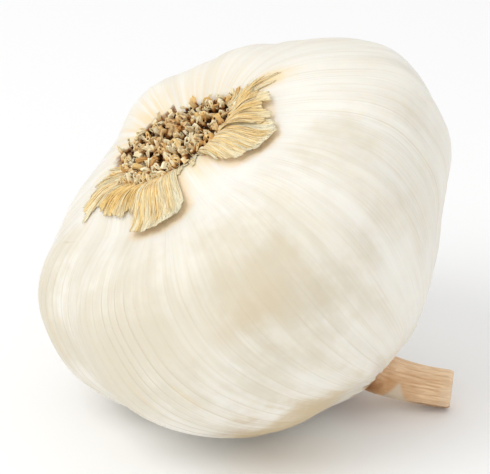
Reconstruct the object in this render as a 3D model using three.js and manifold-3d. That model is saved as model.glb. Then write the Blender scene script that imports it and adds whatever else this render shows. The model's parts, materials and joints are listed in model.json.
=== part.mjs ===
// A garlic bulb lying on its side, as a three.js scene graph in millimetres, +Z up.
// It leans back on its cut stem, so that its root plate faces up and to one side.
// Its pieces are drawn round the bulb's own axis: z runs from the stem (-) to the root plate (+),
// z = 0 is the bulb's widest plane, and angles go round that axis from +X.

import * as THREE from "three";
import { mergeVertices } from "three/addons/utils/BufferGeometryUtils.js";
import Module from "manifold-3d";

const wasm = await Module();
wasm.setup();

// ---------------------------------------------------------------- driving dimensions (mm, degrees)

const WIDEST_RADIUS = 29.4; // of the wrapped bulb
const GAP = 0.3; // between pieces that touch

// How the bulb lies: its axis leans from the vertical, then turns about the vertical.
const LEAN = 41;
const TURN = 1;
const FLOOR_BELOW_CENTRE = 28.2; // the surface it lies on, below the middle of its widest plane

// Root end
const ROOT_TILT = 7; // how far the root end tips from the bulb's axis, towards +X
const PLATE_RADIUS = 9.2;
const PLATE_TOP = 12.7; // above the widest plane, at the plate's edge
const PLATE_CROWN = 0.6; // how much higher the plate is in its middle
const PLATE_THICKNESS = 2.4;
const PLATE_BEVEL = 0.5; // of its top edge
const PLATE_SIDES = 48;
const RIM_RADIUS = 9.6; // of the skin's edge round the plate
const RIM_HEIGHT = 13.3;

// Neck end
const NECK_RADIUS = 4;
const NECK_END = 31.5; // below the widest plane, along the neck
const NECK_RAGGED = 0.5; // how far the torn end of its skins wavers
const SOCKET_DEPTH = 5;
const SOCKET_RADIUS = 3.15;
const STEM_RADIUS = 2.75;
const STEM_LENGTH = 14.4; // from the socket's floor to the cut
const STEM_FLUTES = 0.03; // how far its dry surface wavers, as a share of its radius
const STEM_SIDES = 20;
const STEM_ROWS = 9;

// The bend of the neck and stem, in the bulb's own axes
const BEND_START = 16; // below the widest plane
const BEND_HANDLES = [[0, 0, -26], [-3, 0, -33]]; // points that the bend is drawn towards
const BEND_END = [5.9, 0, -39.5]; // the middle of the stem's cut
const RIGID_RADIUS = 15; // rings of skin this wide stay on the straight axis
const BENT_RADIUS = 6; // rings this narrow follow the bend all the way

// Cloves: the angle of each one's middle, and how far it pushes the skin out at its shoulder
// beside the root plate, at its edge, at its belly and at its foot beside the neck.
const CLOVES = [
  { middle: -178, pushes: [-1.7, 1.6, 1.6, 0.1] },
  { middle: -122, pushes: [-3.4, -0.2, 1.1, 1.0] },
  { middle: -56, pushes: [-3.4, -0.8, 0, 0.3] },
  { middle: 10, pushes: [0.2, 1.6, 1.6, -1.4] },
  { middle: 64, pushes: [1.1, 0.2, 0, 0] },
  { middle: 96, pushes: [2.1, 0.2, 0, 0] },
  { middle: 146, pushes: [-1.4, -0.5, 0.5, 1.1] },
];
// The shares of the way from root plate to neck where those pushes count, and where they end.
const PUSH_SHARES = [0.11, 0.32, 0.5, 0.67];
const PUSH_END = 0.88;

// Grooves between the cloves: where each one is, its depth, and its width in degrees.
const GROOVES = [
  { angle: -154, depth: 2.3, width: 12 },
  { angle: -94, depth: 0.6, width: 12 },
  { angle: -26, depth: 1.1, width: 12 },
  { angle: 42, depth: 1.1, width: 10 },
  { angle: 82, depth: 0.9, width: 10 },
  { angle: 124, depth: 1.1, width: 10 },
  { angle: 172, depth: 1.0, width: 11 },
];

// Skin
const SKIN_COLUMNS = 124;
const SKIN_ROWS = 24;
const RIB_HEIGHTS = [0.06, 0.21]; // the lowest and highest
const SWIRL = 7; // degrees that the ribs turn between the root plate and the neck

// Torn skins: where each flap begins, its length, how high its end lifts, and how ragged its edge is.
const FLAPS = [
  { from: -176, length: 5.4, lift: 0.1, ragged: 1.6 },
  { from: -158, length: 4.4, lift: 0.3, ragged: 1.2 },
  { from: -120, length: 7.8, lift: 1.2, ragged: 0.5 },
  { from: -92, length: 1.2, lift: 0.1, ragged: 0.6 },
  { from: -66, length: 7.2, lift: 1.4, ragged: 0.6 },
  { from: -30, length: 4.2, lift: 0.5, ragged: 0.9 },
  { from: -8, length: 6.6, lift: 0.2, ragged: 1.2 },
  { from: 7, length: 1.8, lift: 0.1, ragged: 1.4 },
  { from: 60, length: 1.4, lift: 0.1, ragged: 1.2 },
  { from: 110, length: 2.0, lift: 0.1, ragged: 1.6 },
  { from: 156, length: 3.2, lift: 0.1, ragged: 1.8 },
];
const FLAP_COLUMNS = 130;
const FLAP_ROWS = 3;
const FLAP_THICKNESS = 0.6;
const FLAP_RIDGE = 0.12; // how far every other column stands up, as a fold
const FLAP_ROUGHNESS = 0.1; // how much each column's thickness varies

// Root stubs
const STUB_COUNT = 88;
const STUB_SIDES = 4;
const STUB_RADII = [0.54, 0.88]; // the thinnest and thickest
const STUB_LENGTHS = [1.3, 2.7]; // the shortest and longest
const STUB_TAPER = 0.7; // the cut end's radius, as a share of the foot's
const STUB_ROOT = 0.8; // sunk in the plate
const STUB_INSET = 0.9; // of the outermost stubs from the plate's edge
const STUB_LEAN = 0.6; // how far a stub may lean, as a share of its length
const STUB_SLANT = 0.4; // how far its cut end may slant, as a share of its width

// ---------------------------------------------------------------- helpers

const radians = THREE.MathUtils.degToRad;
const TURN_ROUND = 2 * Math.PI;
const GOLDEN_ANGLE = radians(137.508);
const WAVES = [3, 5, 8, 13, 21]; // turns of each wave that a waver adds up
const WAVES_SUM = 1.6; // how far those waves reach together
const MERGE_WITHIN = 1e-4; // corners this near are one

// A repeatable source of random numbers between 0 and 1.
function randomFrom(seed) {
  let state = seed;
  return () => {
    state = (state * 1664525 + 1013904223) % 4294967296;
    return state / 4294967296;
  };
}

// A random number in a range of two.
function within([low, high], random) {
  return low + (high - low) * random();
}

// Smooth, repeatable variation round the axis, about -1 to 1.
function waver(angle, seed) {
  const random = randomFrom(seed);
  let sum = 0;
  for (const cycles of WAVES) {
    sum += Math.sin(cycles * angle + random() * TURN_ROUND) / Math.sqrt(cycles);
  }
  return sum / WAVES_SUM;
}

// The shortest way round from one angle to another, in degrees, from -180 to 180.
function degreesBetween(from, to) {
  return THREE.MathUtils.euclideanModulo(to - from + 180, 360) - 180;
}

// An even blend from one value to the next as t goes from 0 to 1.
function ease(from, to, t) {
  return from + (to - from) * (0.5 - 0.5 * Math.cos(Math.PI * THREE.MathUtils.clamp(t, 0, 1)));
}

// Closes a grid of rings into a solid. Each ring is a loop of points, and a ring of one point is a pole.
// Without poles, the last ring joins the first, as in a tyre.
function solidFromRings(rings) {
  const positions = [];
  const starts = rings.map((ring) => {
    const start = positions.length / 3;
    for (const point of ring) positions.push(point.x, point.y, point.z);
    return start;
  });
  const faces = [];
  const isLoop = rings[0].length > 1;
  const count = isLoop ? rings.length : rings.length - 1;
  for (let r = 0; r < count; r++) {
    const next = (r + 1) % rings.length;
    const size = Math.max(rings[r].length, rings[next].length);
    const at = (ring, column) => starts[ring] + (rings[ring].length > 1 ? column % size : 0);
    for (let c = 0; c < size; c++) {
      if (rings[r].length > 1) faces.push(at(r, c), at(next, c), at(r, c + 1));
      if (rings[next].length > 1) faces.push(at(r, c + 1), at(next, c), at(next, c + 1));
    }
  }
  const geometry = new THREE.BufferGeometry();
  geometry.setAttribute("position", new THREE.Float32BufferAttribute(positions, 3));
  geometry.setIndex(faces);
  return geometry;
}

// A geometry as a manifold-3d solid.
function toSolid(geometry) {
  const bare = new THREE.BufferGeometry().setAttribute("position", geometry.getAttribute("position"));
  bare.setIndex(geometry.index);
  const merged = mergeVertices(bare, MERGE_WITHIN);
  return new wasm.Manifold(
    new wasm.Mesh({
      numProp: 3,
      vertProperties: merged.attributes.position.array,
      triVerts: new Uint32Array(merged.index.array),
    }),
  );
}

// A manifold-3d solid as a geometry.
function toGeometry(solid) {
  const mesh = solid.getMesh();
  const geometry = new THREE.BufferGeometry();
  geometry.setAttribute("position", new THREE.BufferAttribute(mesh.vertProperties, 3));
  geometry.setIndex(new THREE.BufferAttribute(mesh.triVerts, 1));
  geometry.computeVertexNormals();
  return geometry;
}

// ---------------------------------------------------------------- how the bulb lies

const lie = new THREE.Euler(0, -radians(LEAN), radians(TURN), "ZYX");

// Cuts a piece flat where it meets the surface that the bulb lies on.
function cutAtFloor(geometry) {
  const up = new THREE.Vector3(0, 0, 1).applyQuaternion(new THREE.Quaternion().setFromEuler(lie).invert());
  return toGeometry(toSolid(geometry).trimByPlane(up.toArray(), -FLOOR_BELOW_CENTRE));
}

// ---------------------------------------------------------------- the axis and the skin's surface

// The axis is straight in the bulb, bends in the neck and stem, and tips a little at the root end.
const spine = new THREE.CubicBezierCurve3(
  new THREE.Vector3(0, 0, -BEND_START),
  new THREE.Vector3(...BEND_HANDLES[0]),
  new THREE.Vector3(...BEND_HANDLES[1]),
  new THREE.Vector3(...BEND_END),
);
const SPINE_LENGTH = spine.getLength();
const TOWARDS_STEM = new THREE.Vector3(0, 0, -1);
const ACROSS = new THREE.Vector3(0, 1, 0);

// The point at a radius and angle about the axis, at a height along it.
function aboutAxis(radius, angle, height) {
  const point = new THREE.Vector3(radius * Math.cos(angle), radius * Math.sin(angle), 0);
  const straight = point.clone().setZ(height);
  if (height > 0) {
    const tip = radians(ROOT_TILT) * THREE.MathUtils.smoothstep(height, 0, PLATE_TOP);
    return straight.applyAxisAngle(ACROSS, tip);
  }
  const along = (-height - BEND_START) / SPINE_LENGTH;
  if (along <= 0) return straight;
  const u = Math.min(along, 1);
  const bend = new THREE.Quaternion().setFromUnitVectors(TOWARDS_STEM, spine.getTangentAt(u));
  const bent = point.applyQuaternion(bend).add(spine.getPointAt(u));
  return bent.lerp(straight, THREE.MathUtils.smoothstep(radius, BENT_RADIUS, RIGID_RADIUS));
}

// From the root plate's rim, over the shoulder and the widest plane, to the end of the neck.
const profile = new THREE.CatmullRomCurve3(
  [
    [RIM_RADIUS, RIM_HEIGHT],
    [12.6, 14.2],
    [16.8, 14.1],
    [21.6, 12.2],
    [26.5, 7.2],
    [WIDEST_RADIUS, 0],
    [28.6, -6.7],
    [25.4, -14.2],
    [20, -20.5],
    [13.3, -24.9],
    [8, -27.6],
    [5.2, -29.5],
    [NECK_RADIUS, -NECK_END],
  ].map(([radius, height]) => new THREE.Vector3(radius, 0, height)),
  false,
  "centripetal",
);

// How far one clove pushes the skin out, at a share of the way from root plate to neck.
function cloveRise(clove, share) {
  const shares = [0, ...PUSH_SHARES, PUSH_END];
  const pushes = [0, ...clove.pushes, 0];
  const k = shares.findLastIndex((start) => start <= share);
  if (k + 1 >= shares.length) return 0;
  return ease(pushes[k], pushes[k + 1], (share - shares[k]) / (shares[k + 1] - shares[k]));
}

// How far the skin stands off the plain profile: pushed by the two nearest cloves, sunk in grooves.
function cloveForm(degrees, share) {
  const turns = CLOVES.map((clove) => THREE.MathUtils.euclideanModulo(degrees - clove.middle, 360));
  const k = turns.indexOf(Math.min(...turns));
  const next = CLOVES[(k + 1) % CLOVES.length];
  const across = turns[k] / (turns[k] + THREE.MathUtils.euclideanModulo(next.middle - degrees, 360));
  const rise = ease(cloveRise(CLOVES[k], share), cloveRise(next, share), across);
  const fade = Math.sin(Math.PI * Math.min(1, share / PUSH_END));
  const sunk = GROOVES.reduce((sum, { angle, depth, width }) => {
    return sum + depth * Math.exp(-((degreesBetween(angle, degrees) / width) ** 2));
  }, 0);
  return rise - fade * sunk;
}

// A point of the skin, at a share of the way from the root plate's rim to the end of the neck,
// raised by some height above it.
function skinPoint(angle, share, raised = 0) {
  const on = profile.getPointAt(share);
  const tangent = profile.getTangentAt(share);
  const out = raised + cloveForm(THREE.MathUtils.radToDeg(angle), share);
  return aboutAxis(on.x - tangent.z * out, angle, on.z + tangent.x * out);
}

// ---------------------------------------------------------------- pieces

// The wrapped cloves in their ribbed skins, with a recess for the root plate and a socket for the stem.
function makeBulb() {
  const columns = [...Array(SKIN_COLUMNS).keys()];
  const random = randomFrom(7);
  const ribs = columns.map((c) => (c % 2 ? 1 : -1) * within(RIB_HEIGHTS, random));
  const ring = (pointAt) => columns.map((c) => pointAt((c / SKIN_COLUMNS) * TURN_ROUND, c));
  const recessFloor = PLATE_TOP - PLATE_THICKNESS - GAP;
  const rings = [
    [aboutAxis(0, 0, recessFloor)],
    ring((angle) => aboutAxis(PLATE_RADIUS + GAP, angle, recessFloor)),
  ];
  for (let r = 0; r < SKIN_ROWS; r++) {
    const share = r / SKIN_ROWS;
    const fade = Math.sin(Math.PI * share) ** 0.5;
    rings.push(ring((angle, c) => skinPoint(angle + radians(SWIRL) * share, share, ribs[c] * fade)));
  }
  const neckRing = (radius, height) => {
    return ring((angle) => aboutAxis(radius, angle + radians(SWIRL), height(angle)));
  };
  const tornEnd = (angle) => -NECK_END - NECK_RAGGED * waver(angle, 11);
  const socketFloor = -NECK_END + SOCKET_DEPTH;
  rings.push(neckRing(NECK_RADIUS, tornEnd));
  rings.push(neckRing(SOCKET_RADIUS, tornEnd));
  rings.push(neckRing(SOCKET_RADIUS, () => socketFloor));
  rings.push([aboutAxis(0, 0, socketFloor)]);
  return cutAtFloor(solidFromRings(rings));
}

// The dried stem, which follows the bend from the socket to its cut end.
function makeStem() {
  const columns = [...Array(STEM_SIDES).keys()];
  const start = -NECK_END + SOCKET_DEPTH - GAP;
  const rings = [[aboutAxis(0, 0, start)]];
  for (let r = 0; r <= STEM_ROWS; r++) {
    const height = start - (STEM_LENGTH * r) / STEM_ROWS;
    rings.push(
      columns.map((c) => {
        const angle = (c / STEM_SIDES) * TURN_ROUND;
        return aboutAxis(STEM_RADIUS * (1 + STEM_FLUTES * waver(angle, 3)), angle, height);
      }),
    );
  }
  rings.push([aboutAxis(0, 0, start - STEM_LENGTH)]);
  return cutAtFloor(solidFromRings(rings));
}

// The ring of dry outer skins, torn back round the root plate, whose ends lie on the bulb or lift from it.
function makeTornSkins() {
  const random = randomFrom(21);
  const skinLength = profile.getLength();
  const rows = [...Array(FLAP_ROWS + 1).keys()].map((r) => r / FLAP_ROWS);
  const rings = [];
  for (let c = 0; c < FLAP_COLUMNS; c++) {
    const degrees = FLAPS[0].from + (360 * c) / FLAP_COLUMNS;
    const flap = FLAPS.findLast(({ from }) => from <= degrees);
    const length = flap.length + flap.ragged * (random() - 0.5);
    const ridge = (c % 2 ? FLAP_RIDGE : 0) + FLAP_ROUGHNESS * random();
    const at = (along, thickness) => {
      const raised = RIB_HEIGHTS[1] + GAP + flap.lift * along ** 2 + thickness;
      return skinPoint(radians(degrees), (along * length) / skinLength, raised);
    };
    rings.push([
      ...rows.map((along) => at(along, 0)),
      ...rows.toReversed().map((along) => at(along, FLAP_THICKNESS + ridge * (1 - along / 2))),
    ]);
  }
  return solidFromRings(rings);
}

// One root stub: a short prism that narrows, leans and ends in a slanted cut.
function makeStub(random) {
  const columns = [...Array(STUB_SIDES).keys()];
  const size = within(STUB_RADII, random);
  const length = within(STUB_LENGTHS, random);
  const eitherWay = (most) => within([-most, most], random);
  const lean = new THREE.Vector3(eitherWay(STUB_LEAN), eitherWay(STUB_LEAN), 0);
  const slant = eitherWay(STUB_SLANT);
  const ring = (height, radius) =>
    columns.map((c) => {
      const angle = (c / STUB_SIDES) * TURN_ROUND;
      const point = new THREE.Vector3(Math.cos(angle), Math.sin(angle), 0).multiplyScalar(radius);
      point.z = height + Math.sign(height) * slant * point.x;
      return point.addScaledVector(lean, Math.max(0, height));
    });
  const tip = new THREE.Vector3(0, 0, length).addScaledVector(lean, length);
  const foot = new THREE.Vector3(0, 0, -STUB_ROOT);
  return solidFromRings([[tip], ring(length, size * STUB_TAPER), ring(-STUB_ROOT, size), [foot]]);
}

// A crowned disc with the stubs of the cut roots standing on it, none of them past its edge.
function makeRootPlate() {
  const random = randomFrom(5);
  const columns = [...Array(PLATE_SIDES).keys()];
  const ring = (radius, height) => {
    return columns.map((c) => aboutAxis(radius, (c / PLATE_SIDES) * TURN_ROUND, height));
  };
  const centre = (height) => [aboutAxis(0, 0, height)];
  const floor = PLATE_TOP - PLATE_THICKNESS;
  const top = (radius) => PLATE_TOP + PLATE_CROWN * (1 - (radius / PLATE_RADIUS) ** 2);
  const disc = solidFromRings([
    centre(top(0)),
    ring(PLATE_RADIUS / 2, top(PLATE_RADIUS / 2)),
    ring(PLATE_RADIUS - PLATE_BEVEL, PLATE_TOP),
    ring(PLATE_RADIUS, PLATE_TOP - PLATE_BEVEL),
    ring(PLATE_RADIUS, floor),
    centre(floor),
  ]);
  const solids = [toSolid(disc)];
  for (let k = 0; k < STUB_COUNT; k++) {
    const radius = (PLATE_RADIUS - STUB_INSET) * Math.sqrt((k + 0.5) / STUB_COUNT);
    const foot = aboutAxis(radius, k * GOLDEN_ANGLE, top(radius));
    const stub = makeStub(random);
    stub.rotateZ(random() * TURN_ROUND);
    stub.rotateY(radians(ROOT_TILT));
    stub.translate(foot.x, foot.y, foot.z);
    solids.push(toSolid(stub));
  }
  const reach = PLATE_TOP + 2 * STUB_LENGTHS[1];
  const column = toSolid(
    solidFromRings([centre(reach), ring(PLATE_RADIUS, reach), ring(PLATE_RADIUS, floor), centre(floor)]),
  );
  return toGeometry(wasm.Manifold.union(solids).intersect(column));
}

// ---------------------------------------------------------------- materials and assembly

function material(colour, roughness) {
  return new THREE.MeshStandardMaterial({ color: colour, roughness, metalness: 0 });
}

const MATERIALS = {
  skin: material("#f1ecdc", 0.45),
  plate: material("#a9835a", 0.85),
  husk: material("#e6c690", 0.7),
  stem: material("#cda67a", 0.65),
};

function piece(name, geometry, finish) {
  const mesh = new THREE.Mesh(geometry, finish);
  mesh.name = name;
  return mesh;
}

const bulb = new THREE.Group();
bulb.add(
  piece("bulb", makeBulb(), MATERIALS.skin),
  piece("stem", makeStem(), MATERIALS.stem),
  piece("torn_skins", makeTornSkins(), MATERIALS.husk),
  piece("root_plate", makeRootPlate(), MATERIALS.plate),
);
bulb.setRotationFromEuler(lie);

// The whole lies on z = 0, with the middle of its box over the origin.
const garlic = new THREE.Group();
garlic.add(bulb);
const middle = new THREE.Box3().setFromObject(bulb, true).getCenter(new THREE.Vector3());
bulb.position.set(-middle.x, -middle.y, FLOOR_BELOW_CENTRE);

export default garlic;
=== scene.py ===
"""A garlic bulb lying on its side: ribbed papery skin, torn dry skins, cut roots and a dried stem."""

import json
import math
from collections import namedtuple
from functools import cached_property

import bpy
import numpy as np
from bpy.props import FloatProperty, FloatVectorProperty, IntProperty, PointerProperty
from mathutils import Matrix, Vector

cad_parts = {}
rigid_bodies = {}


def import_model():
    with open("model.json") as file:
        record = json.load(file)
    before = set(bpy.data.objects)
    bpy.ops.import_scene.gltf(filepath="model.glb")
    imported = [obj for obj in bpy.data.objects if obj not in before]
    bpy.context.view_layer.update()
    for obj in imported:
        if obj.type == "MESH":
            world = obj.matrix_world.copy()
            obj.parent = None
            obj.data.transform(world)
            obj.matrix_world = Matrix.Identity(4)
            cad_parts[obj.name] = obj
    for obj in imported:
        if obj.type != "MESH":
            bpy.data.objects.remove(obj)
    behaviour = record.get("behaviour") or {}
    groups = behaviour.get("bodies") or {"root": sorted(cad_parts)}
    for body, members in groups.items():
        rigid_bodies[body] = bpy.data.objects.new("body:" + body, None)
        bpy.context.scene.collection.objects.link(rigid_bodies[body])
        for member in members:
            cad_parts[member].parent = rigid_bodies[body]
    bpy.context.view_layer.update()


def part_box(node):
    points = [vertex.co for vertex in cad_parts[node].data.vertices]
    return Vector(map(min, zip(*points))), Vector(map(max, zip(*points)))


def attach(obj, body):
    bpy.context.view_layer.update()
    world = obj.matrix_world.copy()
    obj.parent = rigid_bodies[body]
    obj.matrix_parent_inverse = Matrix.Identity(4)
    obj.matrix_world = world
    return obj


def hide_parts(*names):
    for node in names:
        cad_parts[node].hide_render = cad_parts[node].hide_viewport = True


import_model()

bl_info = {
    "name": "Garlic Bulb",
    "version": (1, 0, 0),
    "blender": (4, 5, 0),
    "location": "3D View > Sidebar > Garlic",
    "description": "Builds a garlic bulb with papery skin, torn dry skins, root stubs and a cut stem",
    "category": "Mesh",
}

BODY = "root"
MM = 0.001
TURN_ROUND = 2 * math.pi


# ---------------------------------------------------------------- the bulb's form
# It is drawn round its own axis: z runs from the stem (-) to the root plate (+), z = 0 is the widest
# plane, and angles go round that axis from +X. It is then laid down as the frame has it.

LEAN = math.radians(41)  # of the root end, down from upright
TURN = math.radians(1)  # about the upright
FLOOR_BELOW_CENTRE = 28.2 * MM

ROOT_TILT = math.radians(7)  # how far the root end tips from the axis
PLATE_RADIUS = 9.2 * MM
PLATE_TOP = 12.7 * MM
PLATE_CROWN = 0.6 * MM  # how much higher its middle is than its rim
PLATE_THICKNESS = 2.4 * MM
GAP = 0.3 * MM  # between the root plate and the recess in the skin

# Radius and height, from the root plate's rim over the shoulder and the widest plane to the neck.
PROFILE = np.array([
    (9.6, 13.3), (12.6, 14.2), (16.8, 14.1), (21.6, 12.2), (26.5, 7.2), (29.4, 0), (28.6, -6.7),
    (25.4, -14.2), (20, -20.5), (13.3, -24.9), (7.4, -28.1), (4.3, -29.5), (2.2, -30),
]) * MM
NECK_END = 30 * MM
SWIRL = math.radians(7)  # that the ribs turn between the root plate and the neck

# The axis bends below this height, drawn towards the two middle points.
BEND = np.array([(0, 0, -16), (0, 0, -26), (-3, 0, -33), (5.9, 0, -39.5)]) * MM
BEND_START = -BEND[0, 2]
RIGID_RADIUS = 15 * MM  # skin this far from the axis doesn't bend
BENT_RADIUS = 6 * MM  # skin this near it bends all the way

# For each clove, the angle of its middle in degrees, and how far it pushes the skin out (mm) at its
# shoulder, edge, belly and foot. Those pushes count at PUSH_SHARES of the way from plate to neck.
CLOVES = {
    -178: (-1.7, 1.6, 1.6, 0.1),
    -122: (-3.4, -0.2, 1.1, 1.0),
    -56: (-3.4, -0.8, 0, 0.3),
    10: (0.2, 1.6, 1.6, -1.4),
    64: (1.1, 0.2, 0, 0),
    96: (2.1, 0.2, 0, 0),
    146: (-1.4, -0.5, 0.5, 1.1),
}
PUSH_SHARES = (0.11, 0.32, 0.5, 0.67)
PUSH_END = 0.88

# For each groove between cloves, its angle in degrees, its depth (mm) and its width in degrees.
GROOVES = {
    -154: (2.3, 12), -94: (0.6, 12), -26: (1.1, 12), 42: (1.1, 10), 82: (0.9, 10), 124: (1.1, 10),
    172: (1.0, 11),
}


def smooth(value):
    """An even step from 0 to 1."""
    t = np.clip(value, 0, 1)
    return t * t * (3 - 2 * t)


def ease(start, end, share):
    """An even blend from start to end."""
    return start + (end - start) * (0.5 - 0.5 * np.cos(np.pi * np.clip(share, 0, 1)))


def waver(angle, seed, waves, drift=0.0):
    """Smooth variation round the axis, about -1 to 1. Drift slides the waves past each other."""
    phases = np.random.default_rng(seed).uniform(-np.pi, np.pi, (2, len(waves)))
    parts = [
        np.sin(count * angle + phase + slide * drift) / math.sqrt(count)
        for count, phase, slide in zip(waves, *phases)
    ]
    return sum(parts) / sum(1 / math.sqrt(count) for count in waves) * 1.6


def smooth_curve(points, per_span=60):
    """A centripetal Catmull-Rom curve through points, as a fine polyline."""
    padded = np.vstack([2 * points[0] - points[1], points, 2 * points[-1] - points[-2]])
    t = np.linspace(0, 1, per_span, endpoint=False)[:, None]
    spans = []
    for p0, p1, p2, p3 in zip(padded, padded[1:], padded[2:], padded[3:]):
        d0, d1, d2 = (np.linalg.norm(b - a) ** 0.5 for a, b in ((p0, p1), (p1, p2), (p2, p3)))
        leave = d1 * ((p1 - p0) / d0 - (p2 - p0) / (d0 + d1)) + p2 - p1
        arrive = d1 * ((p3 - p2) / d2 - (p3 - p1) / (d1 + d2)) + p2 - p1
        middle = smooth(t)
        spans.append(
            p1 + (p2 - p1) * middle + leave * t * (1 - t) ** 2 - arrive * t * t * (1 - t)
        )
    return np.vstack(spans + [points[-1:]])


def bezier(points, steps=400):
    """A cubic Bezier curve as a fine polyline."""
    t = np.linspace(0, 1, steps)[:, None]
    a, b, c, d = points
    return a * (1 - t) ** 3 + 3 * b * t * (1 - t) ** 2 + 3 * c * t * t * (1 - t) + d * t**3


class Track:
    """A polyline that is read by the distance along it."""

    def __init__(self, line):
        steps = np.linalg.norm(np.diff(line, axis=0), axis=1)
        self.at = np.concatenate([[0], np.cumsum(steps)])
        self.length = self.at[-1]
        self.line = line
        self.run = np.gradient(line, self.at, axis=0)

    def point(self, distance):
        """The coordinates at each distance. Before the start the line goes on straight."""
        before = np.minimum(distance, 0)
        return [
            np.interp(distance, self.at, place) + before * run[0]
            for place, run in zip(self.line.T, self.run.T)
        ]

    def direction(self, distance):
        """The unit direction at each distance, as coordinates."""
        return [np.interp(distance, self.at, run) for run in self.run.T]


SKIN_LINE = Track(smooth_curve(PROFILE))
SPINE = Track(bezier(BEND))


def tipped(points, angle):
    """Points turned about the Y axis."""
    x, y, z = np.moveaxis(points, -1, 0)
    c, s = np.cos(angle), np.sin(angle)
    return np.stack([x * c + z * s, y, z * c - x * s], -1)


def about_axis(radius, angle, height):
    """Points at a radius and angle about the bulb's axis and a height along it, in the bulb's own axes."""
    radius, angle, height = np.broadcast_arrays(radius, angle, height)
    flat = np.stack([radius * np.cos(angle), radius * np.sin(angle), 0 * height], -1)
    straight = flat + np.stack([0 * height, 0 * height, height], -1)
    rooted = tipped(straight, ROOT_TILT * smooth(height / PLATE_TOP))
    along = np.clip(-height - BEND_START, 0, SPINE.length)
    x, _, z = SPINE.point(along)
    run, _, rise = SPINE.direction(along)
    bent = tipped(flat, np.arctan2(-run, -rise)) + np.stack([x, 0 * x, z], -1)
    rigid = smooth((radius - BENT_RADIUS) / (RIGID_RADIUS - BENT_RADIUS))[..., None]
    necked = np.where((height < -BEND_START)[..., None], bent + (straight - bent) * rigid, straight)
    return np.where((height > 0)[..., None], rooted, necked)


def clove_rise(pushes, share):
    """How far one clove pushes the skin out, at a share of the way from plate to neck."""
    shares = np.array([0, *PUSH_SHARES, PUSH_END])
    values = np.array([0, *pushes, 0]) * MM
    k = np.clip(np.searchsorted(shares, share, side="right") - 1, 0, len(shares) - 2)
    return ease(values[k], values[k + 1], (share - shares[k]) / (shares[k + 1] - shares[k]))


def groove_depth(angle, share):
    """How far the grooves between cloves sink the skin."""
    sunk = 0
    for place, (depth, width) in GROOVES.items():
        between = (np.degrees(angle) - place + 180) % 360 - 180
        sunk = sunk + depth * MM * np.exp(-((between / width) ** 2))
    return sunk * np.sin(np.pi * np.clip(share / PUSH_END, 0, 1))


def clove_form(angle, share):
    """How far the skin stands off the plain profile."""
    degrees = np.degrees(angle)
    middles = np.array(list(CLOVES))
    turns = (degrees[..., None] - middles) % 360
    near = turns.argmin(-1)
    following = (near + 1) % len(middles)
    across = turns.min(-1) / (turns.min(-1) + (middles[following] - degrees) % 360)
    rises = np.stack([clove_rise(pushes, share) for pushes in CLOVES.values()], -1)
    own, other = (np.take_along_axis(rises, k[..., None], -1)[..., 0] for k in (near, following))
    return ease(own, other, across) - groove_depth(angle, share)


def laid_down(points):
    """Points turned from the bulb's own axes to the frame's, about the bulb's centre."""
    c, s = math.cos(LEAN), math.sin(LEAN)
    leaning = points @ np.array([(c, 0, -s), (0, 1, 0), (s, 0, c)]).T
    c, s = math.cos(TURN), math.sin(TURN)
    return leaning @ np.array([(c, -s, 0), (s, c, 0), (0, 0, 1)]).T


def skin_shape(angle, share, raised=0.0):
    """Points raised off the skin, at an angle and a share of the way from plate to neck."""
    angle, share, raised = np.broadcast_arrays(angle, share, raised)
    radius, height = SKIN_LINE.point(share * SKIN_LINE.length)
    run, rise = SKIN_LINE.direction(share * SKIN_LINE.length)
    out = raised + clove_form(angle, share)
    return about_axis(radius - rise * out, angle, height + run * out)


def find_centre():
    """Where the frame has the middle of the bulb's widest plane."""
    angles, shares = np.meshgrid(np.linspace(0, TURN_ROUND, 240), np.linspace(0, 1, 120))
    skin = laid_down(skin_shape(angles, shares)).reshape(-1, 3)
    low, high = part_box("bulb")
    offset = (np.array(low) + np.array(high) - skin.min(0) - skin.max(0)) / 2
    offset[2] = FLOOR_BELOW_CENTRE
    return offset


CENTRE = find_centre()


def placed(points):
    """Points moved from the bulb's own axes into the frame, none of them below the floor."""
    points = laid_down(points) + CENTRE
    points[..., 2] = np.maximum(points[..., 2], 0)
    return points


# ---------------------------------------------------------------- meshes


def new_piece(name, points, faces, points_data=None, uv=None, edges=()):
    """A mesh object at the origin, with point attributes and a UV map called weave."""
    mesh = bpy.data.meshes.new(name)
    mesh.from_pydata(np.asarray(points, float).reshape(-1, 3), edges, faces)
    for key, values in (points_data or {}).items():
        attribute = mesh.attributes.new(key, "FLOAT", "POINT")
        attribute.data.foreach_set("value", np.asarray(values, np.float32).ravel())
    if uv is not None:
        layer = mesh.uv_layers.new(name="weave")
        layer.data.foreach_set("uv", np.asarray(uv, np.float32).ravel())
    mesh.validate()
    mesh.shade_smooth()
    piece = bpy.data.objects.new(name, mesh)
    bpy.context.scene.collection.objects.link(piece)
    return piece


def ring_faces(rows, columns):
    """The faces of rings joined into a tube, with a pole before the first and after the last ring."""
    last_ring = (rows - 1) * columns
    faces = []
    for column in range(columns):
        here, beside = 1 + column, 1 + (column + 1) % columns
        faces.append((0, here, beside))
        for ring in range(0, last_ring, columns):
            after = ring + columns
            faces.append((ring + here, after + here, after + beside, ring + beside))
        faces.append((1 + rows * columns, last_ring + beside, last_ring + here))
    return faces


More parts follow.
